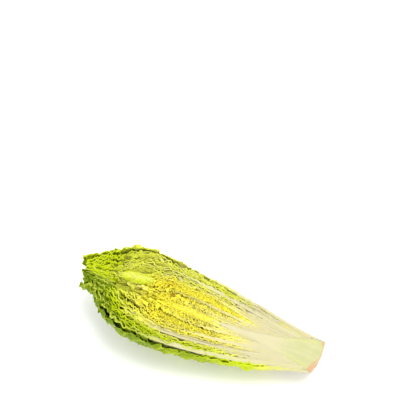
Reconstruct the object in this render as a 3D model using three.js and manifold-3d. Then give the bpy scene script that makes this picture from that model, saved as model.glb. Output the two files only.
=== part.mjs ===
// A head of romaine lettuce cut in half lengthwise, lying on its rounded back with the cut face up.
//
// The half is a cut stem, a heart of small crumpled leaves round the growing tip, and large leaves
// nested round them in the order in which they grew. Every leaf is one bent sheet with a thick midrib.
//
// Head coordinates, before the half is laid down: the stem's axis runs along X, with station 0 at the
// butt and HEAD_LENGTH at the leaf tips. An angle of 0 points along +Y, and -90 degrees points down.
// The knife passed through the axis, and what lay above it is gone.
//
// A place inside the head is (layer, along, angle): layer is 0 on the axis and 1 at the outside, and
// along is 0 where a leaf leaves the stem and 1 at its tip. Millimetres and degrees, +Z up.

import * as THREE from 'three';
import { mergeVertices } from 'three/addons/utils/BufferGeometryUtils.js';
import Module from 'manifold-3d';

// ---- driving dimensions -------------------------------------------------------------------------

const HEAD_LENGTH = 272;
const HEAD_RADIUS = 51.5;
const STEM_RADIUS = 18.5;
const LOWEST_LEAF = 6;           // station where the outermost leaf leaves the stem
const HIGHEST_LEAF = 86;         // and the innermost
const INNER_TIP = 152;           // station of the innermost leaf's tip
const STEM_GAP = 0.3;            // between the stem and the foot of each leaf

const LEAF_COUNT = 30;           // in the whole head, before it was cut
const HEART_LEAVES = 8;          // the innermost of them, grown together round the growing tip
const GOLDEN_ANGLE = 137.508;    // turn from one leaf to the next
const OUTERMOST_ANGLE = -12;     // where the outermost leaf's midrib is
const FOOT_SPAN = 70;            // half the angle that a leaf clasps at its foot
const INNER_SPAN = 84;           // half the angle of an inner leaf's blade
const OUTER_SPAN = 80;
const FADE = 28;                 // angle over which its neighbours close in past a leaf's margin

const BLADE = 1.0;               // thickness of a blade, and of the air between two blades
const AIR = 2.9;
const RIB = 9;                   // thickness of an outer midrib at its foot
const RIB_HALF_WIDTH = 13;       // and half its width
const CORE_ROOM = 3;             // what the growing tip takes up in the middle

const TILT = 3;                  // the cut face leans this far towards -Y
const PITCH = 7;                 // and the butt end dips this far
const FLAT_DEPTH = 2.6;          // how far its weight presses the half flat where it lies

const STEM_END = 58;             // station where the stem gives way to the growing tip
const STEM_STEP = 6;             // between the rings of the stem's outline
const ROOT_DEPTH = 1.5;          // how deep the heart's leaves are rooted in the growing tip
const FLAPS = { 29: 24, 26: 12 }; // leaves that the knife bent aside: how far they spring up past the cut
const MIN_FOOT = 8;              // a leaf held by less of its foot than this angle fell away
const MIN_WIDTH = 9;             // and a blade ends where less than this is left of it
const COLUMN_ANGLE = 14;         // size of the facets, across and along a leaf
const ROW_LENGTH = 13;
const MAX_COLUMNS = 12;
const ALONG_STEPS = 60;          // places along a leaf at which its width is looked at

const PALE_RIB = 0xe6e8b4;
const HEART_YELLOW = 0xe3d64a;
const LIME = 0xbfd04a;
const LEAF_GREEN = 0x7fa32c;
const INNER_FROM = 10;           // leaves numbered above this are the yellower inner ones

// ---- profiles: [place, size] -------------------------------------------------------------------

// The stem's radius by station, from the butt to where it ends in the growing tip.
const STEM = [[0, 18], [2, STEM_RADIUS], [12, 18.2], [28, 13.8], [47, 8.5], [70, 4.4], [92, 1.8]];
// How far a layer stands off the axis, by along, as a share of its own radius.
const BULGE = [[0, 0], [0.1, 0.18], [0.26, 0.49], [0.47, 0.79], [0.66, 0.95], [0.75, 0.93], [0.84, 0.79],
  [0.93, 0.53], [1, 0.3]];

// How far the axis bends to the side, by station.
const BEND = [[0, 0], [70, -2.5], [140, -1], [200, 2], [240, 4], [HEAD_LENGTH, 5]];

// A smooth curve through the stations.
function through(stations, x) {
  const last = stations.length - 1;
  const slope = (i) => {
    const [a, b] = [stations[Math.max(i - 1, 0)], stations[Math.min(i + 1, last)]];
    return (b[1] - a[1]) / (b[0] - a[0]);
  };
  if (x <= stations[0][0]) return stations[0][1];
  if (x >= stations[last][0]) return stations[last][1];
  const i = stations.findIndex((station) => station[0] > x) - 1;
  const [[x0, y0], [x1, y1]] = [stations[i], stations[i + 1]];
  const [h, t] = [x1 - x0, (x - x0) / (x1 - x0)];
  return y0 * (1 + 2 * t) * (1 - t) ** 2 + slope(i) * h * t * (1 - t) ** 2
    + y1 * t * t * (3 - 2 * t) + slope(i + 1) * h * t * t * (t - 1);
}

const mix = (a, b, t) => a + (b - a) * t;
const smooth = (edge0, edge1, x) => THREE.MathUtils.smoothstep(x, edge0, edge1);
const radians = THREE.MathUtils.degToRad;
const turnBetween = (a, b) => ((((a - b) % 360) + 540) % 360) - 180;

// ---- the head's own coordinates ------------------------------------------------------------------

const footStation = (layer) => mix(HIGHEST_LEAF, LOWEST_LEAF, layer ** 0.9);
const tipStation = (layer) => mix(INNER_TIP, HEAD_LENGTH, layer ** 0.8);

// Station and radius of a place in the head.
function meridian(layer, along, gap = STEM_GAP) {
  const foot = footStation(layer);
  const station = mix(foot, tipStation(layer), along);
  const stem = through(STEM, foot) + gap;
  return [station, stem * (1 - along) ** 2 + HEAD_RADIUS * layer * through(BULGE, along)];
}

// The half leans and dips as it lies on its back.
const lean = new THREE.Matrix4().makeRotationY(radians(PITCH))
  .multiply(new THREE.Matrix4().makeRotationX(radians(TILT)));

// Lays down a place given by its station and its two distances off the axis.
function laid(station, across, up) {
  return new THREE.Vector3(-station, across + through(BEND, station), up).applyMatrix4(lean);
}

const point = (station, radius, angle) =>
  laid(station, radius * Math.cos(radians(angle)), radius * Math.sin(radians(angle)));

// The surface that the half lies on, FLAT_DEPTH above where its underside would have been.
const undersides = Array.from({ length: 101 }, (_, step) => point(...meridian(1, step / 100), -90 - TILT).z);
const floor = Math.min(...undersides) + FLAT_DEPTH;

// A place of a leaf, laid down. All the layers are pressed in together where the outermost would
// pass through the floor, and they pucker together elsewhere, so that no leaf meets another.
// The puckers die out towards the feet and leave the knife's plane flat.
function place(layer, along, angle, gap) {
  const [station, radius] = meridian(layer, along, gap);
  const [, outermost] = meridian(1, along);
  const axis = point(station, 0, 0).z;
  const drop = axis - point(station, 1, angle).z;
  const reach = drop > 0 ? (axis - floor) / drop / outermost : Infinity;
  const blade = smooth(70, 150, station) * smooth(3, 14, radius) * smooth(1, 1.15, reach);
  const turn = radians(angle);
  const wave = Math.sin(station / 5.6 + 2.1 * Math.sin(turn * 2 + 0.6))
    + 0.7 * Math.sin(station / 8.7 - 1.3 + 2.4 * Math.cos(turn * 3));
  const drift = Math.sin(station / 11 + turn * 3);
  return point(station + 1.2 * blade * drift, radius * Math.min(reach, 1) + 1.1 * blade * wave, angle);
}

// ---- leaves ----------------------------------------------------------------------------------------

// Leaf 0 is the innermost.
const outerness = (leaf) => leaf / (LEAF_COUNT - 1);
// The midrib's angle, from -270 to 90, so that it runs on from the half that is left.
const midribAngle = (leaf) =>
  turnBetween(OUTERMOST_ANGLE + (LEAF_COUNT - 1 - leaf) * GOLDEN_ANGLE, -90) - 90;

// Half the angle of a leaf's blade.
function span(leaf, along) {
  const widest = mix(INNER_SPAN, OUTER_SPAN, outerness(leaf));
  const rounded = Math.sqrt(Math.max(0, 1 - (Math.max(0, along - 0.6) / 0.44) ** 2.4));
  const wavy = 1 + 0.05 * smooth(0.3, 0.6, along) * Math.sin(along * 31 + leaf * 2.3);
  return mix(FOOT_SPAN, widest, smooth(0, 0.4, along)) * rounded * wavy;
}

// How thick a leaf is at an angle, and the room that it takes there with its air.
function thicknessAndRoom(leaf, along, angle) {
  const off = Math.abs(turnBetween(angle, midribAngle(leaf)));
  const edge = span(leaf, along);
  const [, radius] = meridian((leaf + 1) / LEAF_COUNT, along);
  const size = mix(0.35, 1, outerness(leaf)) * (1 - along) ** 1.3;
  const across = radians(off) * radius / (RIB_HALF_WIDTH * mix(0.45, 1, size));
  const thickness = BLADE + RIB * size * Math.exp(-(across ** 2));
  return [thickness, (1 - smooth(edge, edge + FADE, off)) * (thickness + AIR)];
}

// The layers of a leaf's inner and outer face. The leaves that pass a place share its whole depth.
function faceLayers(leaf, along, angle) {
  let inside = CORE_ROOM;
  let total = CORE_ROOM;
  for (let other = 0; other < LEAF_COUNT; other++) {
    const [, room] = thicknessAndRoom(other, along, angle);
    if (other < leaf) inside += room;
    total += room;
  }
  const [thickness] = thicknessAndRoom(leaf, along, angle);
  return [(inside + AIR) / total, (inside + AIR + thickness) / total];
}

// What the knife left of a blade, as [low, high] angles: the far edge may spring up past the cut.
function kept(leaf, along) {
  const flap = (FLAPS[leaf] ?? 0) * smooth(0.66, 0.8, along) * (1 - smooth(0.86, 1.02, along));
  const edge = span(leaf, along);
  return [Math.max(midribAngle(leaf) - edge, -180), Math.min(midribAngle(leaf) + edge, flap)];
}

const keptWidth = (leaf, along) => {
  const [low, high] = kept(leaf, along);
  return high - low;
};

// A closed slab between two grids of points, split into triangles alike on both faces.
function slab(inner, outer) {
  const [rows, columns] = [inner.length, inner[0].length];
  const corner = (face, row, column) => (face * rows + row) * columns + column;
  const triangles = [];
  const quad = (a, b, c, d) => triangles.push(a, b, c, a, c, d);
  const [lastRow, lastColumn] = [rows - 1, columns - 1];
  for (let row = 0; row < lastRow; row++) {
    for (let column = 0; column < lastColumn; column++) {
      const [a, b, c, d] = [[0, 0], [1, 0], [1, 1], [0, 1]].map(([r, q]) => corner(0, row + r, column + q));
      const face = corner(1, 0, 0);
      triangles.push(a, c, b, a, d, c, a + face, b + face, c + face, a + face, c + face, d + face);
    }
    quad(corner(0, row, 0), corner(0, row + 1, 0), corner(1, row + 1, 0), corner(1, row, 0));
    quad(corner(0, row, lastColumn), corner(1, row, lastColumn), corner(1, row + 1, lastColumn),
      corner(0, row + 1, lastColumn));
  }
  for (let column = 0; column < lastColumn; column++) {
    quad(corner(0, 0, column), corner(1, 0, column), corner(1, 0, column + 1), corner(0, 0, column + 1));
    quad(corner(0, lastRow, column), corner(0, lastRow, column + 1), corner(1, lastRow, column + 1),
      corner(1, lastRow, column));
  }
  const positions = [...inner.flat(), ...outer.flat()].flatMap((place) => place.toArray());
  return new THREE.BufferGeometry()
    .setAttribute('position', new THREE.Float32BufferAttribute(positions, 3))
    .setIndex(triangles);
}

function leafGeometry(leaf, gap = STEM_GAP) {
  const alongs = Array.from({ length: ALONG_STEPS + 1 }, (_, step) => step / ALONG_STEPS);
  const last = alongs.filter((along) => along < 0.3 || keptWidth(leaf, along) > MIN_WIDTH).at(-1);
  const widest = Math.max(...alongs.map((along) => keptWidth(leaf, along)));
  const columns = THREE.MathUtils.clamp(Math.round(widest / COLUMN_ANGLE), 2, MAX_COLUMNS);
  const length = tipStation(outerness(leaf)) - footStation(outerness(leaf));
  const rows = Math.round(last * length / ROW_LENGTH);
  const grids = [[], []];
  for (let row = 0; row <= rows; row++) {
    const along = last * row / rows;
    const [low, high] = kept(leaf, along);
    const lines = [[], []];
    for (let column = 0; column <= columns; column++) {
      const angle = mix(low, high, column / columns);
      faceLayers(leaf, along, angle).forEach((layer, face) => {
        lines[face].push(place(layer, along, angle, gap));
      });
    }
    grids[0].push(lines[0]);
    grids[1].push(lines[1]);
  }
  return slab(...grids);
}

// ---- solids: joined and cut --------------------------------------------------------------------------

const wasm = await Module();
wasm.setup();

function solid(geometry) {
  const bare = geometry.clone();
  bare.deleteAttribute('normal');
  bare.deleteAttribute('uv');
  const merged = mergeVertices(bare, 1e-4);
  return new wasm.Manifold(new wasm.Mesh({
    numProp: 3,
    vertProperties: merged.attributes.position.array,
    triVerts: new Uint32Array(merged.index.array),
  }));
}

function geometryOf(made) {
  const mesh = made.getMesh();
  return new THREE.BufferGeometry()
    .setAttribute('position', new THREE.BufferAttribute(mesh.vertProperties, 3))
    .setIndex(new THREE.BufferAttribute(mesh.triVerts, 1));
}

// A round body along the stem's axis, cut in half by the knife and laid down.
function halfTurned(profile, sides) {
  const outline = profile.map(([station, radius]) => new THREE.Vector2(radius, station));
  const whole = new THREE.LatheGeometry(outline, sides).rotateZ(Math.PI / 2);
  const upper = new THREE.BoxGeometry(2 * HEAD_LENGTH, 3 * HEAD_RADIUS, HEAD_RADIUS)
    .translate(-HEAD_LENGTH / 2, 0, HEAD_RADIUS / 2);
  const half = geometryOf(solid(whole).subtract(solid(upper)));
  const places = half.getAttribute('position');
  for (let i = 0; i < places.count; i++) {
    const { x, y, z } = laid(-places.getX(i), places.getY(i), places.getZ(i));
    places.setXYZ(i, x, y, z);
  }
  return solid(half);
}

// The stem's outline from one station to another.
function stemOutline(from, to) {
  const steps = Math.ceil((to - from) / STEM_STEP);
  return Array.from({ length: steps + 1 }, (_, step) => {
    const station = mix(from, to, step / steps);
    return [station, through(STEM, station)];
  });
}

// ---- the half head -------------------------------------------------------------------------------------

const geometries = new Map();
geometries.set('stem', geometryOf(halfTurned([[0, 0], ...stemOutline(0, STEM_END), [STEM_END, 0]], 20)));

const heartFoot = STEM_END + STEM_GAP;
let heart = halfTurned([[heartFoot, 0], ...stemOutline(heartFoot, INNER_TIP), [INNER_TIP, 0]], 10);
for (let leaf = 0; leaf < HEART_LEAVES; leaf++) {
  if (keptWidth(leaf, 0) > MIN_FOOT) heart = heart.add(solid(leafGeometry(leaf, -ROOT_DEPTH)));
}
geometries.set('heart', geometryOf(heart));

// The kept leaves are numbered from the outside in.
for (let leaf = LEAF_COUNT - 1; leaf >= HEART_LEAVES; leaf--) {
  const order = geometries.size - 1;
  if (keptWidth(leaf, 0) > MIN_FOOT) {
    geometries.set(`leaf_${String(order).padStart(2, '0')}`, leafGeometry(leaf));
  }
}

// The origin is in the middle of the half's length and breadth, on the floor.
const whole = [...geometries.values()]
  .map((geometry) => new THREE.Box3().setFromBufferAttribute(geometry.getAttribute('position')))
  .reduce((all, box) => all.union(box), new THREE.Box3());
const middle = whole.getCenter(new THREE.Vector3());

function colourOf(name) {
  const order = Number(name.slice(-2));
  if (name === 'stem') return PALE_RIB;
  if (name === 'heart') return HEART_YELLOW;
  return order > INNER_FROM ? LIME : LEAF_GREEN;
}

const head = new THREE.Group();
head.name = 'romaine_half';
for (const [name, geometry] of geometries) {
  const mesh = new THREE.Mesh(
    geometry.translate(-middle.x, -middle.y, -floor),
    new THREE.MeshStandardMaterial({ color: colourOf(name), roughness: 0.55, metalness: 0 }),
  );
  mesh.name = name;
  head.add(mesh);
}

export default head;
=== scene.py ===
"""A romaine lettuce head cut in half: leaves, heart, stem and studio.

Each leaf is one crumpled sheet that grows where its solid does. A place in the head is given by its
layer (0 on the axis, 1 outside), how far along a leaf it is (0 at the foot, 1 at the tip) and an
angle round the axis (0 along +Y, -90 down). Lengths inside the head are in millimetres.
"""

import itertools
import math

import bmesh
import bpy
import numpy as np
from mathutils import Matrix, Vector


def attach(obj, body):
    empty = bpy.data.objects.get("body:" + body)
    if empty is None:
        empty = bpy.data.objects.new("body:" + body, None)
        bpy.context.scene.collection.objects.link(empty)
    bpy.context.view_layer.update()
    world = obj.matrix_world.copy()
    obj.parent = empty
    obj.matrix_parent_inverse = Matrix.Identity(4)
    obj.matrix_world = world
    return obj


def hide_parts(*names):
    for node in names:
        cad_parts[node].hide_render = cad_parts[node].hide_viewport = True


bl_info = {
    "name": "Halved romaine lettuce",
    "version": (1, 0, 0),
    "blender": (4, 5, 0),
    "location": "3D View > Sidebar > Lettuce",
    "description": "Grows the crumpled leaves, heart and stem of a romaine head cut in half",
    "category": "Object",
}

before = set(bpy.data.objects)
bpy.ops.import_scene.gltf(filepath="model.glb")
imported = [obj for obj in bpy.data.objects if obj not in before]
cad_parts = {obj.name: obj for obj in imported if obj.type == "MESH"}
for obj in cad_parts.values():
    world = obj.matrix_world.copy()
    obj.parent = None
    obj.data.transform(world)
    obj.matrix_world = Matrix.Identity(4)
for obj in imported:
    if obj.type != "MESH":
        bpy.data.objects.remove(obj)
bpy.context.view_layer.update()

# ---- how the head grew, as its solids did but for the flaps ------------------------------------------

# Angles are in degrees. A span is half the angle of a blade, and the neighbours close in past a
# leaf's margin over the fade.

HEAD_LENGTH = 272.0
HEAD_RADIUS = 51.5
LOWEST_LEAF = 6.0
HIGHEST_LEAF = 86.0
INNER_TIP = 152.0
STEM_GAP = 0.3
LEAF_COUNT = 30
HEART_LEAVES = 8
GOLDEN_ANGLE = 137.508
OUTERMOST_ANGLE = -12.0
FOOT_SPAN = 70.0
INNER_SPAN = 84.0
OUTER_SPAN = 80.0
FADE = 28.0
BLADE = 1.0
AIR = 2.9
RIB = 9.0
RIB_HALF_WIDTH = 13.0
CORE_ROOM = 3.0
TILT = 3.0
PITCH = 7.0
FLAT_DEPTH = 2.6
# How far the far leaves spring up past the cut, round the axis. The outer one is a little lower than
# its solid, and both fade out sooner.
FLAPS = {29: 19.0, 26: 12.0}
# A leaf kept no wider than the first at its foot was cut away. Any other ends where it is last wider
# than the second, to the nearest of so many steps along it.
MIN_FOOT = 8.0
MIN_WIDTH = 9.0
ALONG_STEPS = 60

# ---- what its solids leave out ---------------------------------------------------------------------

# The shortest cut edge that has a fold beside it, how deep the fold goes, and from vein to vein.
MIN_FOLD = 12.0
FOLD_DEPTH = 13.0
VEIN_STEP = 17.0
# Where a leaf's curled tips stand, as shares of its distance from the axis, and how much of that
# distance its own tip turns in.
CURLS = {27: (0.12, 0.32, 0.52, 0.72, 0.9), 26: (0.25, 0.5, 0.8), 25: (0.2, 0.42, 0.65, 0.88)}
TURNED_IN = {27: 0.6, 24: 0.5, 22: 0.5}
# The middle number of the leaves whose midribs the cut runs along on the near side.
NEAR_RIB = 16.5
# How much further the tips reach on the far side than at the bottom. On the near side they reach less
# far by as much.
TIP_SLANT = 4.5
# How far the butt is cut back on the near side, and where the stem's core ends.
BUTT_SLANT = 5.5
STEM_TIP = 124.0

# From row to row of a sheet, in the inner and the outer leaves.
ROW_STEPS = (0.61, 0.94)
# From column to column near the cut, in the inner leaves and the rest.
CUT_COLUMNS = (1.3, 1.55)
# And further in, in the outermost leaves, which show their backs, and the rest.
COLUMNS = (2.5, 5.0)
# How far in from the cut its close columns reach, in the inner and the other leaves.
CUT_DEPTHS = (11, 16)
FOLD_COLUMNS = 11
CURL_ROWS, CURL_COLUMNS = 40, 38
LOBE_ROWS_PER_LENGTH, LOBE_COLUMNS = 1.8, 22
STEM_ROWS, STEM_SIDES, STEM_FACE = 104, 48, 36
# The butt's rings of places, as shares of its radius.
BUTT_RINGS = (0.02, 0.4, 0.75, 0.94)
THICKNESS_STEPS = 200
# Edges bent by more than this, in degrees, stay sharp.
CREASE_ANGLE = 55
STEM_CREASE_ANGLE = 40
# How many of the outermost leaves show their backs and have no folds.
SHOWN_OUTSIDE = 3

LOBE_THICKNESS = 0.7
# Where along a leaf the folds start, and where a sliver of margin ends.
FOLDS_START = 0.2
SLIVER_END = 0.93

# Small bruises on the cut: station, distance off the axis and half their length.
BRUISES = [
    (175.5, 20.2, 4.0),
    (169.5, 10.1, 4.5),
    (182.0, 13.0, 2.5),
    (35.7, -5.9, 2.0),
    (126.0, -9.0, 2.2),
]

# Leaves of which a lobe lies face up in the cut: the pale oval one and the bud on the axis.
LOBES = {
    19: dict(station=210.5, across=15.0, length=38.0, width=12.5, turn=14.5, sunk=0.0, crumple=0.9),
    0: dict(station=132.0, across=0.0, length=84.0, width=9.0, turn=0.0, sunk=1.4, crumple=2.4),
}

# ---- outlines: pairs of a place and a size -----------------------------------------------------------

STEM = [(0, 18), (2, 18.5), (12, 18.2), (28, 13.8), (47, 8.5), (70, 4.4), (92, 1.8)]
BULGE = [(0, 0), (0.1, 0.18), (0.26, 0.49), (0.47, 0.79), (0.66, 0.95), (0.75, 0.93), (0.84, 0.79),
         (0.93, 0.53), (1, 0.3)]
BEND = [(0, 0), (70, -2.5), (140, -1), (200, 2), (240, 4), (HEAD_LENGTH, 5)]


def through(profile, x):
    """A smooth curve through a profile's (place, size) pairs."""
    xs, ys = np.array(profile, float).T
    slopes = np.empty_like(ys)
    slopes[1:-1] = (ys[2:] - ys[:-2]) / (xs[2:] - xs[:-2])
    slopes[0] = (ys[1] - ys[0]) / (xs[1] - xs[0])
    slopes[-1] = (ys[-1] - ys[-2]) / (xs[-1] - xs[-2])
    x = np.clip(x, xs[0], xs[-1])
    i = np.clip(np.searchsorted(xs, x, side="right") - 1, 0, len(xs) - 2)
    h = xs[i + 1] - xs[i]
    t = (x - xs[i]) / h
    return (ys[i] * (1 + 2 * t) * (1 - t) ** 2 + slopes[i] * h * t * (1 - t) ** 2
            + ys[i + 1] * t * t * (3 - 2 * t) + slopes[i + 1] * h * t * t * (t - 1))


def mix(a, b, t):
    return a + (b - a) * t


def smooth(low, high, x):
    """0 at low and 1 at high, eased between."""
    t = np.clip((x - low) / (high - low), 0, 1)
    return t * t * (3 - 2 * t)


def turn_between(a, b):
    return (a - b + 180) % 360 - 180


def foot_station(layer):
    return mix(HIGHEST_LEAF, LOWEST_LEAF, layer ** 0.9)


def tip_station(layer):
    return mix(INNER_TIP, HEAD_LENGTH, layer ** 0.8)


def meridian(layer, along):
    """Station and radius of a place in the head."""
    foot = foot_station(layer)
    station = mix(foot, tip_station(layer), along)
    stem = through(STEM, foot) + STEM_GAP
    return station, stem * (1 - along) ** 2 + HEAD_RADIUS * layer * through(BULGE, along)


LEAN = np.array(Matrix.Rotation(math.radians(PITCH), 3, "Y") @ Matrix.Rotation(math.radians(TILT), 3, "X"))


def laid(station, across, up):
    """Lays down a place given by its station and its two distances off the axis."""
    station, across, up = np.broadcast_arrays(station, across, up)
    return np.stack([-station, across + through(BEND, station), up], -1) @ LEAN.T


def point(station, radius, angle):
    return laid(station, radius * np.cos(np.radians(angle)), radius * np.sin(np.radians(angle)))


# How high the floor is in the laid head, and where the frame's origin stands, lengthways and across.
FLOOR = point(*meridian(1.0, np.linspace(0, 1, 101)), -90 - TILT)[:, 2].min() + FLAT_DEPTH
MIDDLE = np.array([-136.417, 1.536])


def outerness(leaf):
    return leaf / (LEAF_COUNT - 1)


def leaf_radius(leaf):
    return HEAD_RADIUS * (leaf + 1) / LEAF_COUNT


def in_heart(layer):
    return 1 - smooth(0.3, 0.72, layer)


def midrib_angle(leaf):
    return turn_between(OUTERMOST_ANGLE + (LEAF_COUNT - 1 - leaf) * GOLDEN_ANGLE, -90) - 90


def span(leaf, along):
    """Half the angle of a leaf's blade."""
    widest = mix(INNER_SPAN, OUTER_SPAN, outerness(leaf))
    rounded = np.sqrt(np.maximum(0, 1 - (np.maximum(0, along - 0.6) / 0.44) ** 2.4))
    wavy = 1 + 0.05 * smooth(0.3, 0.6, along) * np.sin(along * 31 + leaf * 2.3)
    return mix(FOOT_SPAN, widest, smooth(0, 0.4, along)) * rounded * wavy


def rib_across(leaf, along, angle):
    """How far a place is from its leaf's midrib, in degrees, the rib's size there from 0 to 1, and how
    far it is in half widths of the rib.
    """
    off = np.abs(turn_between(angle, midrib_angle(leaf)))
    _, radius = meridian((leaf + 1) / LEAF_COUNT, along)
    size = mix(0.35, 1, outerness(leaf)) * (1 - along) ** 1.3
    return off, size, np.radians(off) * radius / (RIB_HALF_WIDTH * mix(0.45, 1, size))


def thickness_and_room(leaf, along, angle):
    """How thick a leaf is, and the room that it takes up with the air inside it."""
    off, size, across = rib_across(leaf, along, angle)
    edge = span(leaf, along)
    thickness = BLADE + RIB * size * np.exp(-(across ** 2))
    return thickness, (1 - smooth(edge, edge + FADE, off)) * (thickness + AIR)


def cut_rib(leaf, along, angle):
    """How much of a place is in the midribs that the cut runs along on the near side."""
    return np.exp(-(((leaf - NEAR_RIB) / 1.7) ** 4)) * smooth(-152, -170, angle) \
        * smooth(0.2, 0.3, along) * smooth(0.92, 0.78, along)


def closing(leaf, along, angle):
    """How far the feet and ribs close up against each other: 1 at the foot, 0 in the blade."""
    _, size, from_rib = rib_across(leaf, along, angle)
    ribbed = np.exp(-(from_rib ** 2)) * smooth(0.02, 0.3, size)
    first = mix(0.13, 0.22, smooth(0.3, 0.75, outerness(leaf)))
    closed = 1 - smooth(first, first + 0.28, along - 0.34 * ribbed)
    return np.maximum(closed, 0.9 * cut_rib(leaf, along, angle))


def face_layers(leaf, along, angle):
    """Where a leaf's room starts, and the layers of its two faces, which take up all of it at the foot."""
    inside = CORE_ROOM
    total = CORE_ROOM
    for other in range(LEAF_COUNT):
        _, room = thickness_and_room(other, along, angle)
        inside = inside + (room if other < leaf else 0)
        total = total + room
    thickness, room = thickness_and_room(leaf, along, angle)
    closed = closing(leaf, along, angle)
    inner = inside + AIR * (1 - closed)
    outer = inside + mix(AIR + thickness, room + 0.4, closed)
    return inside / total, inner / total, outer / total


def kept(leaf, along):
    """What the knife left of a blade, as its lowest and highest angles."""
    flap = FLAPS.get(leaf, 0) * smooth(0.66, 0.8, along) * (1 - smooth(0.82, 0.95, along))
    edge = span(leaf, along)
    middle = midrib_angle(leaf)
    return np.maximum(middle - edge, -180), np.minimum(middle + edge, flap)


def kept_width(leaf, along):
    low, high = kept(leaf, np.asarray(along, float))
    return high - low


def cut_away(leaf):
    """Whether the knife took all of a leaf but a sliver of its margin."""
    return kept_width(leaf, 0.0) <= MIN_FOOT


def sheet_width(leaf, along):
    """The lowest and highest angles of a leaf's sheet, whose foot spreads until it thins out."""
    low, high = kept(leaf, along)
    spread = 0.9 * FADE * (1 - (0 if cut_away(leaf) else smooth(0.3, 0.45, along)))
    low, high = np.maximum(low - spread, -180), np.minimum(high + spread, np.maximum(high, 0))
    return low, np.maximum(high, low + 0.5)


# ---- crumpling ---------------------------------------------------------------------------------------

def noise(x, y, z, seed):
    """Smooth noise between about -1 and 1."""
    generator = np.random.default_rng(seed)
    order = generator.permutation(256)
    arrows = generator.normal(size=(256, 3))
    arrows /= np.linalg.norm(arrows, axis=1)[:, None]
    place = np.stack(np.broadcast_arrays(x, y, z), -1)
    cell = np.floor(place).astype(int)
    part = place - cell
    ease = part ** 3 * (part * (part * 6 - 15) + 10)
    total = 0
    for corner in itertools.product((0, 1), repeat=3):
        near = np.array(corner)
        spot = (cell + near) & 255
        pick = order[(order[(order[spot[..., 0]] + spot[..., 1]) & 255] + spot[..., 2]) & 255]
        weight = np.prod(np.where(near == 1, ease, 1 - ease), -1)
        total = total + weight * np.sum(arrows[pick] * (part - near), -1)
    return 1.5 * total


def blisters(x, y, z, seed):
    """Rounded blisters between sharp creases, about 0 on average."""
    return 2.2 * np.abs(noise(x, y, z, seed)) - 0.6


def ribs_and_veins(leaf, along, station, radius, angle):
    """How much of a place is rib, vein and side vein, and how far it is from its leaf's midrib."""
    across = radius * np.radians(angle + 90)
    off, size, from_rib = rib_across(leaf, along, angle)
    rib = np.clip(1.25 * np.exp(-(from_rib ** 2)), 0, 1) * np.clip(size * 3, 0, 1)
    rib = np.maximum(rib, cut_rib(leaf, along, angle))
    from_middle = radius * np.radians(off)
    winding = 0.35 * noise(station / 30, across / 30, leaf * 1.0, 28)
    turns = (station - 0.9 * from_middle) / VEIN_STEP + winding
    side_veins = (0.5 + 0.5 * np.cos(2 * np.pi * turns)) ** 14
    vein = np.maximum(np.exp(-((from_middle / mix(6, 1.3, along)) ** 2)), 0.6 * side_veins)
    return rib, vein, side_veins, from_middle


def pleats(deep, station, across, own_place, fold_length):
    """The folds of the heart's blades across the head, between about -1.3 and 1.3."""
    wander = 1.6 * noise(station / 11, across / 12, deep * 2.5, 15) \
        + 0.5 * noise(station / 5, across / 7, own_place * 1.3, 23)
    phase = station / fold_length + wander + 0.05 * across
    height = mix(0.45, 1.3, 0.5 + 0.5 * noise(station / 7, across / 12, deep * 2, 16))
    return np.sin(2 * np.pi * phase) * height


def crumples(leaf, layer, along, station, radius, angle, settings, own_place):
    """How far a sheet is pushed outwards, along the head and round it, and how much is rib and vein.

    A leaf shares its swells and large blisters with its neighbours. The small ones are its own.
    """
    across = radius * np.radians(angle + 90)
    from_cut = radius * np.radians(np.minimum(np.abs(angle), np.abs(angle + 180)))
    deep = layer * 2.2
    rib, vein, side_veins, from_middle = ribs_and_veins(leaf, along, station, radius, angle)
    outside = smooth(0.7, 0.95, layer)
    soft = smooth(mix(46, 24, outside), mix(112, 72, outside), station) * smooth(0.5, 6, radius) \
        * (1 - 0.95 * rib * smooth(205, 150, station))
    heart = in_heart(layer)
    tip = smooth(165, 235, station)

    swell = noise(station / 22, across / 26, deep, 11)
    drift = noise(station / 24 + 5, across / 34, deep * 1.4, 12)
    shared = blisters(station / 8.5 + 0.5 * drift, across / 12, deep, 13)
    uneven = 1 + 0.65 * noise(station / 15, across / 12, own_place * 7.7, 46)
    own = blisters(station / 5.2, across / 6.0, own_place * 3.7, 14) * uneven
    crinkle = uneven * noise(station / 2.6, across / 3.6, own_place * 2.3, 19)
    fine = blisters(station / 3.6, across / 4.2, own_place * 3.1, 30) * smooth(212, 240, station)
    ruffle = noise(station / 2.4, from_cut / 8, own_place * 5.1, 20) * smooth(9, 0, from_cut) * uneven
    flop = noise(station / 8.5, from_cut / 14, own_place * 4.3, 24) * smooth(8, 0, from_cut)
    curl = noise(station / 5, across / 7, own_place * 2.9, 25)

    outermost = smooth(0.9, 0.97, layer)
    calm = 1 - 0.4 * outermost
    blistered = 2.2 * swell + mix(1.1, 1.6, tip) * shared + mix(1.5, 2.1, tip) * own * calm \
        + mix(0.8, 1.1, tip) * crinkle + 2.1 * fine
    ruffled = (mix(1.5, 2.2, outside) * ruffle * calm + 2.6 * flop) * (1 - 0.5 * heart)
    out = (blistered + ruffled) * settings.crumple * (1 - 0.45 * heart)
    out = out + settings.fold_depth * heart * smooth(64, 100, station) * (1 - 0.6 * tip) \
        * pleats(deep, station, across, own_place, settings.fold_length)
    between_veins = 0.9 * (1 - side_veins) * smooth(0, 12, from_middle)
    out = out + outermost * (1.1 * vein - between_veins + 0.5)
    along_head = (1.6 * drift + 1.2 * noise(station / 7, across / 9, deep * 2, 17) + 1.3 * curl) \
        * settings.crumple
    around = 0.9 * noise(station / 8, across / 10, own_place * 1.9, 18) * settings.crumple
    return out * soft, along_head * soft, around * soft, rib, vein


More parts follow.
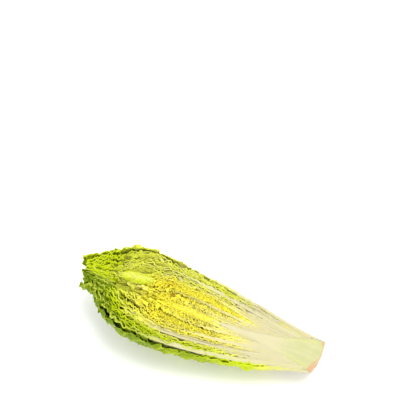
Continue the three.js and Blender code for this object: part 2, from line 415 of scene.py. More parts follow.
def between_faces(inner, outer, along):
    """Station and radius halfway between a leaf's two faces, and how far apart they are."""
    (from_station, from_radius), (to_station, to_radius) = meridian(inner, along), meridian(outer, along)
    station, radius = (from_station + to_station) / 2, (from_radius + to_radius) / 2
    run, rise = np.gradient(station, axis=0), np.gradient(radius, axis=0)
    apart = (to_radius - from_radius) * run - (to_station - from_station) * rise
    return station, radius, apart / np.hypot(run, rise)


def leaf_place(leaf, along, angle, settings, fold=0, curl=1):
    """Where a leaf's sheet is, how thick it is, and what colours it there.

    A fold is a pucker of the blade that stands in the air inside it. A curl is a share of the
    leaf's radius to which its tip turns in.
    """
    closed = closing(leaf, along, angle)
    start, inner, outer = face_layers(leaf, along, angle)
    heart = in_heart(outer)
    thin = settings.blade * 1000 * (1 - 0.35 * heart)
    if fold:
        layer = mix(start, inner, 0.5)
        station, radius = meridian(layer, along)
        thickness = thin * (1 - 0.6 * closed)
    else:
        layer = (inner + outer) / 2
        station, radius, apart = between_faces(inner, outer, along)
        air = mix(0.35, 0.6, heart) * (1 - closed)
        thickness = np.maximum(apart - air, thin * (1 - 0.9 * closed))

    station = station + TIP_SLANT * np.cos(np.radians(angle)) * smooth(228, 262, station)
    radius = radius * curl * (1 - TURNED_IN.get(leaf, 0) * smooth(0.88, 1, along))
    own_place = leaf + 0.41 * fold + 3.3 * (1 - curl)
    out, along_head, around, rib, vein = crumples(leaf, layer, along, station, radius, angle,
                                                  settings, own_place)
    # The floor stops what would sink into it, and what is pressed there crumples less.
    outermost = meridian(1.0, along)[1]
    axis = point(station, 0.0, 0.0)[..., 2]
    drop = axis - point(station, 1.0, angle)[..., 2]
    reach = np.where(drop > 1e-6, (axis - FLOOR) / np.maximum(drop, 1e-6) / outermost, 9.0)
    free = smooth(1.0, 1.12, reach)
    lowest = reach * outermost - 0.55 * thickness
    pressed = np.minimum(radius * np.minimum(reach, 1) + out * free, lowest)
    turned = angle + np.degrees(around * free / np.maximum(radius, 4))
    where = point(station + along_head * free, np.maximum(pressed, 0.4), turned)
    return where, thickness, layer, rib, vein


def in_frame(places):
    """From the head's own millimetres to the part's frame in metres."""
    return (places - np.array([*MIDDLE, FLOOR])) / 1000


# ---- meshes ------------------------------------------------------------------------------------------

def select_only(piece):
    """Selects one piece and makes it the active one."""
    bpy.ops.object.select_all(action="DESELECT")
    piece.select_set(True)
    bpy.context.view_layer.objects.active = piece


def grid_sheet(name, places, values):
    """A primitive grid bent so that its rows and columns go to the places, carrying named values.

    It comes with the row and the column of each of its vertices.
    """
    rows, columns = places.shape[:2]
    bpy.ops.object.select_all(action="DESELECT")
    bpy.ops.mesh.primitive_grid_add(x_subdivisions=columns - 1, y_subdivisions=rows - 1, size=2)
    sheet = bpy.context.object
    sheet.name = name
    sheet.data.name = name
    flat = np.empty(rows * columns * 3)
    sheet.data.vertices.foreach_get("co", flat)
    flat = flat.reshape(-1, 3)
    column = np.rint((flat[:, 0] + 1) / 2 * (columns - 1)).astype(int)
    row = np.rint((flat[:, 1] + 1) / 2 * (rows - 1)).astype(int)
    sheet.data.vertices.foreach_set("co", places[row, column].astype(np.float32).ravel())
    for label, value in values.items():
        value = np.broadcast_to(value, (rows, columns))
        attribute = sheet.data.attributes.new(label, "FLOAT", "POINT")
        attribute.data.foreach_set("value", value[row, column].astype(np.float32))
    sheet.data.update()
    return sheet, (row, column)


def thicken(sheet, thickness, order):
    """Gives a sheet its thickness, place by place, and its edges the second material."""
    row, column = order
    thickest = float(thickness.max())
    group = sheet.vertex_groups.new(name="thickness")
    shares = np.broadcast_to(thickness, (row.max() + 1, column.max() + 1))[row, column] / thickest
    steps = np.clip(np.rint(shares * THICKNESS_STEPS), 1, THICKNESS_STEPS).astype(int)
    for step in np.unique(steps):
        group.add(np.flatnonzero(steps == step).tolist(), step / THICKNESS_STEPS, "REPLACE")
    select_only(sheet)
    bpy.ops.object.modifier_add(type="SOLIDIFY")
    solidify = sheet.modifiers[-1]
    solidify.thickness = thickest / 1000
    solidify.offset = 0
    solidify.vertex_group = "thickness"
    solidify.material_offset_rim = 1
    bpy.ops.object.modifier_apply(modifier=solidify.name)
    sheet.vertex_groups.clear()


def joined(pieces, name):
    """Makes one piece of several."""
    select_only(pieces[0])
    if len(pieces) > 1:
        for piece in pieces[1:]:
            piece.select_set(True)
        bpy.ops.object.join()
    pieces[0].name = name
    pieces[0].data.name = name
    return pieces[0]


def finish(piece, angle=CREASE_ANGLE):
    """Smooths a piece but for its creases."""
    select_only(piece)
    bpy.ops.object.shade_smooth_by_angle(angle=math.radians(angle))


def column_shares(low, high, radius, fine, coarse, cut_depth):
    """Where a blade's columns are, 0 to 1 across it: close together near the cut edges only."""
    width = math.radians(high - low) * radius
    near = np.arange(0, min(cut_depth, width / 2), fine)
    far = np.linspace(cut_depth, width - cut_depth, max(2, round((width - 2 * cut_depth) / coarse))) \
        if width > 2 * cut_depth + coarse else np.array([width / 2])
    places = np.concatenate([near, far, width - near[::-1]])
    return np.unique(np.round(places / width, 5))


def cut_edges(low, high, radius, along, length, seed):
    """The knife's edges of a sheet, a little uneven, and its own margins ragged."""
    place = along * length
    ragged = 1.2 * noise(place / 9, seed * 1.7, 0.5, 21)
    lift = np.random.default_rng(round(seed * 100)).uniform(-0.7, 0.7)
    lift = lift + 0.7 * noise(place / 14, seed, 0.2, 22)
    lift = lift + 2.2 * noise(place / 7, seed * 2.1, 0.7, 26) * smooth(0.45, 0.8, along)
    lift = lift * smooth(0.1, 0.5, along)
    edge = np.degrees(lift / np.maximum(radius * through(BULGE, along), 10))
    return low - np.where(low <= -180, edge, ragged), high + np.where(high >= 0, edge, ragged)


def bruised(where):
    """How bruised a place is, 0 to 1."""
    head = where @ LEAN
    station, across = -head[..., 0], head[..., 1] - through(BEND, -head[..., 0])
    spots = [np.exp(-(((station - place) / size) ** 2) - ((across - side) / (0.4 * size)) ** 2)
             for place, side, size in BRUISES]
    return sum(spots) * smooth(-6, -1, head[..., 2])


def greenness(layer, off, station, angle):
    """How green a place is: 0 in a pale foot, about 0.3 in a lime blade and over 1 at a dark tip. The near
    side of the cut is made greener and darker than the far side. That is partly the outer leaves' own
    green, partly painted shade under the belly and painted light on the shaded far flap.
    """
    # 1 on the near side of the cut and 0 on the far side. It weights the outer leaves' own green, painted
    # shade on the near belly and painted light on the far flap.
    painted_shade_near_side = 0.5 - 0.5 * np.cos(np.radians(angle))
    blade = 0.26 * smooth(75, 125, station)
    foot = mix(0.02, 0.1, painted_shade_near_side) * smooth(0.8, 0.95, layer) * smooth(8, 30, station)
    outer = mix(0.08, mix(0.6, 0.82, smooth(120, 190, station)), painted_shade_near_side) \
        * smooth(mix(0.8, 0.6, smooth(60, 120, station)), 0.92, layer) \
        * smooth(mix(40, 30, painted_shade_near_side), mix(115, 88, painted_shade_near_side), station)
    tip = mix(0.2, 0.75, painted_shade_near_side) * smooth(195, 262, station) * mix(0.5, 1, layer)
    margin = 0.1 * smooth(0.6, 1, off) * smooth(90, 160, station)
    # A greener, darker strip along the near flank: partly the leaf's own green, partly painted shade under
    # the belly.
    strip = 0.12 * painted_shade_near_side * smooth(0.88, 0.96, layer) \
        * smooth(45, 70, station) * smooth(150, 100, station)
    dark_tip = 0.35 * smooth(250, 264, station) * smooth(20, -4, angle)
    return blade + foot + outer + tip + margin + strip + dark_tip


def grown_sheet(leaf, name, angle, along, settings, fold=0, curl=1):
    """One crumpled sheet through the given places of a leaf, with its thickness."""
    where, thickness, layer, rib, vein = leaf_place(leaf, along, angle, settings, fold, curl)
    from_midrib = turn_between(angle, midrib_angle(leaf))
    off = np.abs(from_midrib) / np.maximum(span(leaf, along), 5)
    station = -(where @ LEAN)[..., 0]
    rib = rib * smooth(200, 160, station)
    drying = station + 1.5 * noise(angle / 12, leaf * 1.0, 0.4, 44)
    radius = leaf_radius(leaf)
    values = {
        "green": greenness(layer, off, station, angle),
        "yellow": (1 - smooth(0.38, 0.72, layer)) * smooth(60, 100, station)
                  * (1 - smooth(172, 228, station)),
        "rib": rib,
        "vein": vein * smooth(0.62, 0.85, layer) * (1 - 0.9 * rib),
        "spot": bruised(where),
        "dried": smooth(11, 6.5, drying),
        "length": station / 1000,
        "across": np.radians(from_midrib) * np.maximum(radius, 5) / 1000,
    }
    sheet, order = grid_sheet(name, in_frame(where), values)
    thicken(sheet, thickness, order)
    return sheet


def lobe(name, station, across, length, width, turn, sunk, crumple):
    """A lobe, domed and veined, that lies face up in the cut."""
    rows = np.linspace(-1, 1, round(length * LOBE_ROWS_PER_LENGTH))
    along, side = np.meshgrid(rows, np.linspace(-1, 1, LOBE_COLUMNS), indexing="ij")
    wide = np.sqrt(np.maximum(1 - along ** 2, 0.0)) ** 0.7 * (1 + 0.2 * noise(along * 2.5, side, 0.1, 41))
    down = length / 2 * along
    off = width / 2 * side * wide + 1.2 * np.sin(along * 1.6)
    turned = math.radians(turn)
    place = station + down * math.cos(turned) + off * math.sin(turned)
    off = across + off * math.cos(turned) - down * math.sin(turned)
    dome = 1.6 * (1 - side ** 2) * wide - 2.6 * np.abs(side) ** 3 - 1.5 * along ** 4 - sunk
    veins = crumple * np.abs(noise(place / 3.2 + np.abs(side) * 1.6, side * 2, 0.0, 42))
    where = laid(place, off, dome - veins + 0.8 * crumple * noise(place / 8, off / 8, 0.0, 43))
    midrib = (1 - np.abs(side)) ** 3
    values = {
        "green": 0.46 + 0.3 * side ** 2 + 0.2 * noise(place / 6, off / 4, 0.0, 45),
        "yellow": 1 - smooth(160, 200, place),
        "rib": 0.35 * midrib,
        "vein": 0.7 * midrib,
        "spot": 0.0,
        "dried": 0.0,
        "length": place / 1000,
        "across": off / 1000,
    }
    sheet, order = grid_sheet(name, in_frame(where), values)
    thicken(sheet, np.full(where.shape[:2], LOBE_THICKNESS), order)
    return sheet


def leaf_blade(leaf, name, rows, length, settings):
    """The blade of a leaf, in close columns by the cut."""
    radius = leaf_radius(leaf)
    outer = outerness(leaf) >= 0.5
    low, high = sheet_width(leaf, rows)
    widest = int(np.argmax(high - low))
    shares = column_shares(low[widest], high[widest], radius, CUT_COLUMNS[outer],
                           COLUMNS[leaf < LEAF_COUNT - SHOWN_OUTSIDE], CUT_DEPTHS[outer])
    low, high = cut_edges(low, high, radius, rows, length, leaf)
    angle = low[:, None] + (high - low)[:, None] * shares[None, :]
    return grown_sheet(leaf, name, angle, np.broadcast_to(rows[:, None], angle.shape), settings)


def leaf_folds(leaf, name, rows, length, row_step, settings):
    """The puckers of a leaf's blade in the air beside its cut edges."""
    radius = leaf_radius(leaf)
    low, high = kept(leaf, rows)
    sides = (("near", low <= -180, np.full(len(rows), -180.0), 1), ("far", high >= 0, high, -1))
    folds = []
    for side, cut, edge, inwards in sides:
        if cut.sum() * row_step < MIN_FOLD:
            continue
        along, edge = rows[cut], edge[cut]
        depth = np.degrees(FOLD_DEPTH / np.maximum(radius * through(BULGE, along), 6))
        deep = np.minimum(depth, 80)[:, None] * np.linspace(0, 1, FOLD_COLUMNS)[None, :]
        edges = cut_edges(edge, edge, radius, along, length, leaf + 0.41)
        angle = (edges[0] if inwards > 0 else edges[1])[:, None] + inwards * deep
        along = np.broadcast_to(along[:, None], angle.shape)
        folds.append(grown_sheet(leaf, f"{name}_{side}_fold", angle, along, settings, fold=1))
    return folds


def leaf_curl(leaf, name, curl, settings):
    """A tip of a leaf curled in towards the axis, with a ragged margin."""
    rows = np.linspace(0.87, 0.97, CURL_ROWS)
    angle = np.linspace(-180, 20, CURL_COLUMNS)[None, :] + 9 * noise(rows * 60, leaf, curl * 9, 27)[:, None]
    ragged = 0.014 * noise(angle / 14, leaf, curl * 5, 29) * np.linspace(1, 0.1, CURL_ROWS)[:, None]
    return grown_sheet(leaf, f"{name}_curl", angle, rows[:, None] + ragged, settings, curl=curl)


def grown_leaf(leaf, name, settings):
    """One leaf: its blade, its folds, curls and lobe."""
    looked_at = np.linspace(0, 1, ALONG_STEPS + 1)
    wide = kept_width(leaf, looked_at)
    last = SLIVER_END if cut_away(leaf) else looked_at[(looked_at < 0.3) | (wide > MIN_WIDTH)][-1]
    length = float(tip_station(outerness(leaf)) - foot_station(outerness(leaf)))
    row_step = mix(*ROW_STEPS, smooth(0.4, 0.75, outerness(leaf)))
    rows = np.linspace(0, last, round(last * length / row_step))
    sheets = [leaf_blade(leaf, name, rows, length, settings)]
    if leaf < LEAF_COUNT - SHOWN_OUTSIDE:
        sheets += leaf_folds(leaf, name, rows[rows > FOLDS_START], length, row_step, settings)
    sheets += [leaf_curl(leaf, name, curl, settings) for curl in CURLS.get(leaf, ())]
    if leaf in LOBES:
        sheets.append(lobe(f"{name}_lobe", **LOBES[leaf]))
    return joined(sheets, name)


# ---- the stem ------------------------------------------------------------------------------------------

def stem_sheet(name):
    """The stem's skin, its cut face and its butt as one sheet round it, open along one seam.

    Rows run from the middle of the butt to the core's end, and columns round the skin and then back
    over the cut face. A side of -1 is the near edge of the cut, and a depth of 0 is in its plane.
    """
    share = np.concatenate([BUTT_RINGS, np.ones(STEM_ROWS)])[:, None]
    station = np.concatenate([np.zeros(len(BUTT_RINGS)), np.linspace(0, STEM_TIP, STEM_ROWS)])[:, None]
    round_skin = np.linspace(0, -180, STEM_SIDES)
    over_face = np.cos(np.linspace(0, np.pi, STEM_FACE + 1)[1:])
    angle = np.concatenate([round_skin, np.full(STEM_FACE, -180.0)])[None, :]
    side = np.concatenate([np.cos(np.radians(round_skin)), -over_face])[None, :]
    depth = np.concatenate([np.sin(np.radians(round_skin)), np.zeros(STEM_FACE)])[None, :]

    lumps = 0.5 * noise(station / 7, angle / 12, 0.0, 31) + 0.25 * noise(station / 3, angle / 5, 0.0, 32)
    core = (through(STEM, station) - 0.1) * (1 - 0.7 * smooth(92, STEM_TIP, station))
    feet = 3.4 * smooth(7, 22, station) * (1 - 0.4 * smooth(34, 62, station)) \
        * smooth(STEM_TIP, 76, station)
    radius = np.maximum((core + feet) * share + lumps * smooth(-2, 4, station), 0.2)

    on_butt = station == 0
    in_cut = depth == 0
    hollow = 1.3 * (1 - share ** 2) + 0.35 * noise(side * share * 5, depth * share * 5, 0.0, 33) * on_butt
    slanted = BUTT_SLANT * smooth(0.1, -1, side * share) * smooth(30, 4, station)
    relief = 0.16 * noise(station / 6, side * 4, 0.0, 35) * in_cut * (np.abs(side) < 0.999)
    relief = relief - 0.3 * smooth(core - 0.4, core + 0.5, np.abs(side * radius)) * in_cut * (station > 5)
    relief = relief * np.clip(core / 6, 0, 1)
    where = laid(station + hollow + slanted, side * radius, depth * radius + relief)

    browned = 1.5 + 3.5 * smooth(0.2, -1, side)
    drying = station + 1.8 * noise(side * 3, depth * 3, station / 3, 34)
    dried = 1 - smooth(browned, browned + 3, drying)
    rim = smooth(0.6, 1, np.hypot(side, depth) * share)
    ring = np.exp(-(((np.hypot(side, depth) * radius - 0.78 * core) / (0.06 * core)) ** 2))
    values = {
        "dried": dried * mix(0.62, 1.1, rim),
        "ring": ring * smooth(3, 12, station),
        "pith": smooth(30, 55, station),
    }
    return grid_sheet(name, in_frame(where), values)[0]


def close_up(sheet):
    """Merges a sheet's seam, fills its ends and turns its faces outwards."""
    select_only(sheet)
    bpy.ops.object.mode_set(mode="EDIT")
    bpy.ops.mesh.select_all(action="SELECT")
    bpy.ops.mesh.remove_doubles(threshold=0.00001)
    bpy.ops.mesh.fill_holes(sides=0)
    bpy.ops.mesh.select_all(action="SELECT")
    bpy.ops.mesh.normals_make_consistent(inside=False)
    if bmesh.from_edit_mesh(sheet.data).calc_volume(signed=True) < 0:
        bpy.ops.mesh.flip_normals()
    bpy.ops.object.mode_set(mode="OBJECT")


# ---- materials -----------------------------------------------------------------------------------------

class Field:
    """A value, colour or vector that changes over a surface."""

    def __init__(self, tree, socket):
        self.tree = tree
        self.socket = socket

    def node(self, kind, settings=None, out=0, **inputs):
        """A new node: its settings, the number of its output, and its inputs by name or as i0, i1."""
        made = self.tree.nodes.new(kind)
        for key, value in (settings or {}).items():
            setattr(made, key, value)
        for key, value in inputs.items():
            socket = made.inputs[int(key[1:])] if key[0] == "i" and key[1:].isdigit() \
                else made.inputs[key.replace("_", " ")]
            if isinstance(value, Field):
                self.tree.links.new(value.socket, socket)
            else:
                socket.default_value = value
        return Field(self.tree, made.outputs[out])

    def maths(self, operation, *values, clamp=False):
        return self.node("ShaderNodeMath", {"operation": operation, "use_clamp": clamp},
                         **{f"i{i}": value for i, value in enumerate(values)})

    def __add__(self, other):
        return self.maths("ADD", self, other)

    def __sub__(self, other):
        return self.maths("SUBTRACT", self, other)

    def __rsub__(self, other):
        return self.maths("SUBTRACT", other, self)

    def __mul__(self, other):
        return self.maths("MULTIPLY", self, other)

    __radd__ = __add__
    __rmul__ = __mul__

    def clamped(self):
        return self.maths("ADD", self, 0.0, clamp=True)

    def ease(self, low, high):
        """0 below low, 1 above high and smooth between."""
        return self.node("ShaderNodeMapRange", {"interpolation_type": "SMOOTHSTEP"},
                         Value=self, From_Min=low, From_Max=high)

    def blend(self, first, second):
        """The first colour where this is 0 and the second where it is 1."""
        return self.node("ShaderNodeMix", {"data_type": "RGBA", "clamp_factor": True}, out=2,
                         i0=self, i6=first, i7=second)


def colour(value):
    return (*value, 1.0)


def new_material(name):
    """A new material, the start of its fields and its shader."""
    material = bpy.data.materials.new(name)
    material.use_nodes = True
    tree = material.node_tree
    shader = tree.nodes["Principled BSDF"]
    return material, Field(tree, None), shader


def carried(start, name):
    """A value that the sheets carry under a name."""
    return start.node("ShaderNodeAttribute", {"attribute_name": name}, out=2)


def grain(start, scale, detail=3.0, stretch=(1, 1, 1)):
    """Noise on the object's own coordinates, 0 to 1."""
    place = start.node("ShaderNodeTexCoord", out=3)
    scaled = start.node("ShaderNodeMapping", Vector=place, Scale=stretch)
    return start.node("ShaderNodeTexNoise", Vector=scaled, Scale=scale, Detail=detail)


def streaks(start, along, across, seed):
    """Noise drawn out along a leaf, 0 to 1."""
    place = start.node("ShaderNodeCombineXYZ", X=carried(start, "length") * along,
                       Y=carried(start, "across") * across, Z=seed)
    return start.node("ShaderNodeTexNoise", Vector=place, Scale=1.0, Detail=3.0)


def finish_shader(start, shader, base, roughness, bump, strength, distance, subsurface, coat):
    """Moist plant flesh: colour, roughness and relief on the surface, and a little light through it."""
    links = start.tree.links
    links.new(base.socket, shader.inputs["Base Color"])
    links.new(roughness.socket, shader.inputs["Roughness"])
    normal = start.node("ShaderNodeBump", Height=bump, Strength=strength, Distance=distance)
    links.new(normal.socket, shader.inputs["Normal"])
    shader.inputs["IOR"].default_value = 1.4
    shader.inputs["Specular IOR Level"].default_value = 0.14
    shader.inputs["Subsurface Weight"].default_value = subsurface
    shader.inputs["Subsurface Radius"].default_value = (1.0, 1.0, 0.9)
    shader.inputs["Subsurface Scale"].default_value = 0.0012
    shader.inputs["Coat Weight"].default_value = coat
    shader.inputs["Coat Roughness"].default_value = 0.25


def leaf_material(name, colours, cut=False):
    """Leaf blade, or its moist cut edge: cream at the ribs and foot, then yellow, lime and green."""
    material, start, shader = new_material(name)
    mottle = grain(start, 130.0)
    patch = grain(start, 38.0, 2.0)
    fibre = streaks(start, 14.0, 420.0, 1.0)
    green = carried(start, "green") + (mottle - 0.5) * 0.34 + (patch - 0.5) * 0.4
    if cut:
        green = green * 0.85 - 0.04
        fibre = grain(start, 420.0, stretch=(0.06, 1.0, 1.0))
    base = (green + (fibre - 0.5) * 0.9).ease(0.02, 0.3).blend(colour(colours.cream), colour(colours.lime))
    base = green.ease(0.34, 0.68).blend(base, colour(colours.green))
    base = green.ease(0.8, 1.25).blend(base, colour(colours.dark))
    strength, patchiness = (0.55, 1.0) if cut else (1.2, 0.5)
    yellow = (carried(start, "yellow") * strength + (mottle - 0.5) * patchiness).clamped()
    base = yellow.blend(base, colour(colours.heart))
    rib = (carried(start, "rib") * (fibre * 0.6 + 0.65)).clamped()
    base = rib.blend(base, colour(colours.cream))
    if not cut:
        vein = (carried(start, "vein") * (fibre * 0.5 + 0.5)).clamped()
        base = vein.blend(base, colour(colours.vein))
    spot = (carried(start, "spot") * (mottle + 0.6)).ease(0.25, 0.7)
    base = spot.blend(base, colour(colours.bruise))
    base = carried(start, "dried").blend(base, colour(colours.dried))
    cells = start.node("ShaderNodeTexVoronoi", {"feature": "DISTANCE_TO_EDGE"}, Scale=260.0,
                       Vector=start.node("ShaderNodeTexCoord", out=3))
    relief = mottle * 0.5 + fibre * 0.3 + cells.ease(0.0, 0.12) * (1 - rib) * 0.35
    rough = mottle * 0.25 + (0.22 if cut else 0.34)
    finish_shader(start, shader, base, rough, relief, strength=0.5, distance=0.0012,
                  subsurface=0.5, coat=0.04)
    return material


def stem_material(name, colours):
    """Moist stem flesh with long fibres, browned where the butt dried."""
    material, start, shader = new_material(name)
    mottle = grain(start, 90.0)
    fibre = grain(start, 260.0, stretch=(0.12, 1.0, 1.0))
    dried = carried(start, "dried") + (mottle - 0.5) * 0.5
    ring = (carried(start, "ring") * 0.3 + (fibre - 0.5) * 0.3).clamped()
    base = (fibre * 0.6 + mottle * 0.4).ease(0.2, 0.85).blend(colour(colours.stem), colour(colours.cream))
    base = ring.blend(base, colour(colours.lime))
    base = carried(start, "pith").blend(base, colour(colours.cream))
    base = dried.ease(0.3, 0.75).blend(base, colour(colours.dried))
    finish_shader(start, shader, base, mottle * 0.2 + 0.35, fibre * 0.6 + mottle * 0.4,
                  strength=0.4, distance=0.001, subsurface=0.3, coat=0.1)
    return material


def floor_material(name, shade):
    """Pale matt floor, hardly speckled."""
    material, start, shader = new_material(name)
    speckle = grain(start, 6.0)
    base = speckle.blend(colour([shade] * 3), colour([shade * 0.99] * 3))
    start.tree.links.new(base.socket, shader.inputs["Base Color"])
    shader.inputs["Roughness"].default_value = 0.8
    return material


# ---- the studio ----------------------------------------------------------------------------------------

FLOOR_SIZE = 12.0
FLOOR_SHADE = 0.9
SKY_STRENGTH = 0.78
# Each light's place and size in metres, and its power in watts.
LIGHTS = {
    "key": ((0.3, 0.3, 1.6), 1.0, 14.5),
    "fill": ((-0.4, -1.4, 0.6), 1.2, 8.0),
}
SENSOR_WIDTH = 36.0
PICTURE_WIDTH = 400
# What the camera's distance is measured from, and the pixel of the picture that it falls on.
AIM = (0, 0, 0.03)
AIM_PIXEL = (197.75, 318.9)


# ---- settings ------------------------------------------------------------------------------------------

def linear(red, green, blue):
    """A screen colour, 0 to 255, as the shaders take it."""
    def one(value):
        value = value / 255
        return value / 12.92 if value <= 0.04045 else ((value + 0.055) / 1.055) ** 2.4
    return one(red), one(green), one(blue)


def colour_setting(name, description, red, green, blue):
    return bpy.props.FloatVectorProperty(name=name, description=description, subtype="COLOR", size=3,
                                         min=0, max=1, default=linear(red, green, blue))


class LettuceShape(bpy.types.PropertyGroup):
    """Sizes of the crumpled leaves."""

    blade: bpy.props.FloatProperty(
        name="Blade", description="Thickness of a leaf blade", default=0.0008, min=0.0004, max=0.002,
        unit="LENGTH", precision=4)
    crumple: bpy.props.FloatProperty(
        name="Crumple", description="How deeply the blades blister and swell", default=1.0, min=0, max=2,
        subtype="FACTOR")
    fold_depth: bpy.props.FloatProperty(
        name="Fold depth", description="Depth of the pleats of the heart, in millimetres", default=2.1,
        min=0, max=5)
    fold_length: bpy.props.FloatProperty(
        name="Fold length", description="Length of one pleat of the heart, in millimetres", default=3.7,
        min=3, max=20)


class LettuceColours(bpy.types.PropertyGroup):
    """Colours of the leaves and stem."""

    cream: colour_setting("Cream", "Ribs and leaf feet", 188, 181, 143)
    lime: colour_setting("Lime", "Inner blades", 204, 207, 74)
    green: colour_setting("Green", "Outer blades", 178, 194, 8)
    dark: colour_setting("Dark green", "Leaf tips", 102, 127, 0)
    vein: colour_setting("Vein", "Midribs and side veins of the outer leaves", 184, 193, 66)
    heart: colour_setting("Heart", "Blades of the heart", 232, 221, 56)
    bruise: colour_setting("Bruise", "Small bruises on the cut", 158, 124, 26)
    stem: colour_setting("Stem", "Flesh of the stem", 167, 172, 115)
    dried: colour_setting("Dried butt", "Browned face of the butt", 186, 151, 110)


class LettuceStudio(bpy.types.PropertyGroup):
    """Camera and light."""

    azimuth: bpy.props.FloatProperty(
        name="Azimuth", description="Turn of the camera towards the butt", default=math.radians(18.3),
        subtype="ANGLE")
    elevation: bpy.props.FloatProperty(
        name="Elevation", description="Height of the camera above the floor, as an angle",
        default=math.radians(60), subtype="ANGLE")
    distance: bpy.props.FloatProperty(
        name="Distance", description="From the camera to the half", default=1.02, unit="LENGTH")
    lens: bpy.props.FloatProperty(name="Lens", description="Focal length, in millimetres", default=85.3)
    brightness: bpy.props.FloatProperty(
        name="Brightness", description="Strength of all the light", default=1.35, min=0, max=5)


# ---- operators -------------------------------------------------------------------------------------------

def leaf_nodes():
    """The name of each leaf's solid, with the leaf and the slivers of margin just inside it."""
    nodes = {}
    for leaf in range(LEAF_COUNT - 1, HEART_LEAVES - 1, -1):
        if cut_away(leaf):
            nodes[f"leaf_{len(nodes):02d}"].append(leaf)
        else:
            nodes[f"leaf_{len(nodes) + 1:02d}"] = [leaf]
    return nodes


def leaf_slots(sheet):
    """Gives a sheet its two materials: the blade's and, for its cut edges, the moist one."""
    colours = bpy.context.scene.lettuce_colours
    for name, cut in (("leaf blade", False), ("cut leaf edge", True)):
        material = bpy.data.materials.get(name) or leaf_material(name, colours, cut)
        sheet.data.materials.append(material)


def lay_floor():
    bpy.ops.object.select_all(action="DESELECT")
    bpy.ops.mesh.primitive_plane_add(size=FLOOR_SIZE, location=(0, 0, 0))
    floor = bpy.context.object
    floor.name = "floor"
    floor.data.materials.append(floor_material("pale floor", FLOOR_SHADE))


def light_up(brightness):
    """A white sky and the soft lights, all turned to the half."""
    world = bpy.data.worlds.new("studio")
    world.use_nodes = True
    sky = world.node_tree.nodes["Background"].inputs
    sky["Color"].default_value = (1, 1, 1, 1)
    sky["Strength"].default_value = SKY_STRENGTH * brightness
    bpy.context.scene.world = world
    for name, (place, size, power) in LIGHTS.items():
        bpy.ops.object.light_add(type="AREA", location=place)
        light = bpy.context.object
        light.name = name
        light.data.size = size
        light.data.energy = power * brightness
        light.rotation_euler = (-Vector(place)).to_track_quat("-Z", "Y").to_euler()


def set_camera(studio):
    """A camera that looks past the half, so that AIM falls on its pixel of the picture."""
    azimuth, elevation = studio.azimuth, studio.elevation
    back = Vector((math.sin(azimuth) * math.cos(elevation), -math.cos(azimuth) * math.cos(elevation),
                   math.sin(elevation)))
    right = Vector((math.cos(azimuth), math.sin(azimuth), 0))
    up = back.cross(right)
    pixels = studio.lens / SENSOR_WIDTH * PICTURE_WIDTH
    sideways = math.atan((PICTURE_WIDTH / 2 - AIM_PIXEL[0]) / pixels)
    upwards = math.atan((AIM_PIXEL[1] - PICTURE_WIDTH / 2) / pixels)
    turn = Matrix.Rotation(-sideways, 3, up) @ Matrix.Rotation(upwards, 3, right)
    axes = Matrix((turn @ right, turn @ up, turn @ back)).transposed()
    camera_data = bpy.data.cameras.new("camera")
    camera_data.lens = studio.lens
    camera_data.sensor_width = SENSOR_WIDTH
    camera = bpy.data.objects.new("camera", camera_data)
    bpy.context.scene.collection.objects.link(camera)
    camera.matrix_world = Matrix.Translation(Vector(AIM) + back * studio.distance) @ axes.to_4x4()
    bpy.context.scene.camera = camera


class LETTUCE_OT_leaves(bpy.types.Operator):
    """Grow the large leaves, each where its solid is"""

    bl_idname = "lettuce.leaves"
    bl_label = "Grow the leaves"

    def execute(self, context):
        settings = context.scene.lettuce_shape
        for node, leaves in leaf_nodes().items():
            grown = [grown_leaf(leaf, f"{node}_{leaf}", settings) for leaf in leaves]
            sheet = joined(grown, f"{node}_blade")
            leaf_slots(sheet)
            finish(sheet)
            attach(sheet, "root")
            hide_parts(node)
        return {"FINISHED"}


class LETTUCE_OT_heart(bpy.types.Operator):
    """Grow the crumpled leaves of the heart round the growing tip"""

    bl_idname = "lettuce.heart"
    bl_label = "Grow the heart"

    def execute(self, context):
        settings = context.scene.lettuce_shape
        sheets = [grown_leaf(leaf, f"heart_{leaf}", settings) for leaf in range(HEART_LEAVES)]
        heart = joined(sheets, "heart_leaves")
        leaf_slots(heart)
        finish(heart)
        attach(heart, "root")
        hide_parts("heart")
        return {"FINISHED"}


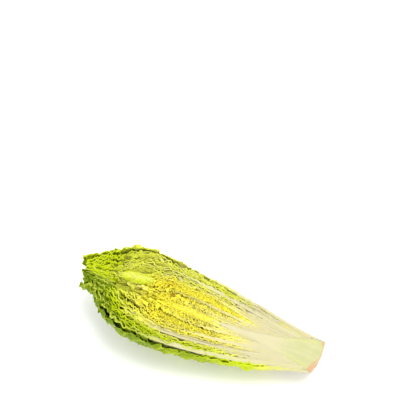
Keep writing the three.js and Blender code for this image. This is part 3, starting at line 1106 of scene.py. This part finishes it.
class LETTUCE_OT_stem(bpy.types.Operator):
    """Turn the stem, cut it in half and dry its butt"""

    bl_idname = "lettuce.stem"
    bl_label = "Cut the stem"

    def execute(self, context):
        sheet = stem_sheet("stem_flesh")
        close_up(sheet)
        sheet.data.materials.append(stem_material("stem flesh", context.scene.lettuce_colours))
        finish(sheet, STEM_CREASE_ANGLE)
        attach(sheet, "root")
        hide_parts("stem")
        return {"FINISHED"}


class LETTUCE_OT_stage(bpy.types.Operator):
    """Lay the floor and set the light and the camera"""

    bl_idname = "lettuce.stage"
    bl_label = "Set the stage"

    def execute(self, context):
        studio = context.scene.lettuce_studio
        lay_floor()
        light_up(studio.brightness)
        set_camera(studio)
        context.scene.view_settings.view_transform = "Standard"
        return {"FINISHED"}


class LETTUCE_PT_panel(bpy.types.Panel):
    """Everything that makes the half"""

    bl_label = "Lettuce"
    bl_idname = "LETTUCE_PT_panel"
    bl_space_type = "VIEW_3D"
    bl_region_type = "UI"
    bl_category = "Lettuce"

    def draw(self, context):
        for group in ("lettuce_shape", "lettuce_colours", "lettuce_studio"):
            settings = getattr(context.scene, group)
            box = self.layout.box()
            for name in settings.__annotations__:
                box.prop(settings, name)
        for operator in OPERATORS:
            self.layout.operator(operator.bl_idname)


OPERATORS = (LETTUCE_OT_stem, LETTUCE_OT_heart, LETTUCE_OT_leaves, LETTUCE_OT_stage)
GROUPS = {"lettuce_shape": LettuceShape, "lettuce_colours": LettuceColours, "lettuce_studio": LettuceStudio}


def register():
    for kind in (*GROUPS.values(), *OPERATORS, LETTUCE_PT_panel):
        bpy.utils.register_class(kind)
    for name, group in GROUPS.items():
        setattr(bpy.types.Scene, name, bpy.props.PointerProperty(type=group))


def unregister():
    for name in GROUPS:
        delattr(bpy.types.Scene, name)
    for kind in reversed((*GROUPS.values(), *OPERATORS, LETTUCE_PT_panel)):
        bpy.utils.unregister_class(kind)


def main():
    register()
    bpy.ops.lettuce.stem()
    bpy.ops.lettuce.heart()
    bpy.ops.lettuce.leaves()
    bpy.ops.lettuce.stage()


if __name__ == "__main__":
    main()
